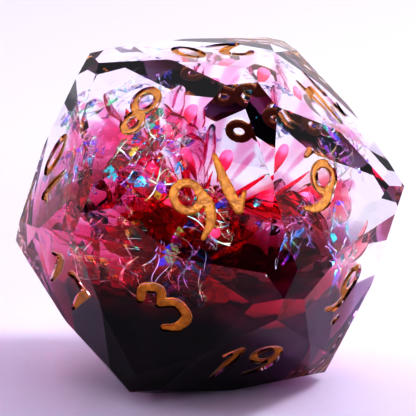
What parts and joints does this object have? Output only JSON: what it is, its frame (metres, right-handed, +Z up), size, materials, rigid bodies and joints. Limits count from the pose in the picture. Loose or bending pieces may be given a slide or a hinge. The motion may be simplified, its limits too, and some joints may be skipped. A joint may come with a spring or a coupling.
{
  "type": "polyhedral die",
  "caption": "Sharp-edged twenty-sided die in clear resin with gold-inked engraved numerals and ink plumes and iridescent film cast inside.",
  "frame": {"origin": "centre of the resting face, which is face 1", "axes": "+Z up through the centre of the uppermost face, which is face 20; +X towards the corner that face 20 shares with faces 6, 8, 14 and 16"},
  "size_m": [0.0376, 0.0342, 0.032],
  "materials": {
    "clear_resin": "polished",
    "gold_paint": "metallic paint, satin",
    "dark_ink": "ink-tinted resin",
    "pink_ink": "ink-tinted resin",
    "crimson_ink": "ink-tinted resin",
    "iridescent_film": "iridescent film"
  },
  "bodies": {
    "root": {"resin_body": "clear_resin", "number_01": "gold_paint", "number_02": "gold_paint", "number_03": "gold_paint", "number_04": "gold_paint", "number_05": "gold_paint", "number_06": "gold_paint", "number_07": "gold_paint", "number_08": "gold_paint", "number_09": "gold_paint", "number_10": "gold_paint", "number_11": "gold_paint", "number_12": "gold_paint", "number_13": "gold_paint", "number_14": "gold_paint", "number_15": "gold_paint", "number_16": "gold_paint", "number_17": "gold_paint", "number_18": "gold_paint", "number_19": "gold_paint", "number_20": "gold_paint", "ink_pool": "dark_ink", "ink_heart": "crimson_ink", "ink_plume_1": "pink_ink", "ink_plume_2": "pink_ink", "ink_plume_3": "pink_ink", "ink_plume_4": "pink_ink", "ink_plume_5": "crimson_ink", "ink_plume_6": "crimson_ink", "ink_plume_7": "crimson_ink", "ink_plume_8": "crimson_ink", "film_flake_01": "iridescent_film", "film_flake_02": "iridescent_film", "film_flake_03": "iridescent_film", "film_flake_04": "iridescent_film", "film_flake_05": "iridescent_film", "film_flake_06": "iridescent_film", "film_flake_07": "iridescent_film", "film_flake_08": "iridescent_film", "film_flake_09": "iridescent_film", "film_flake_10": "iridescent_film", "film_flake_11": "iridescent_film", "film_flake_12": "iridescent_film"}
  },
  "joints": []
}
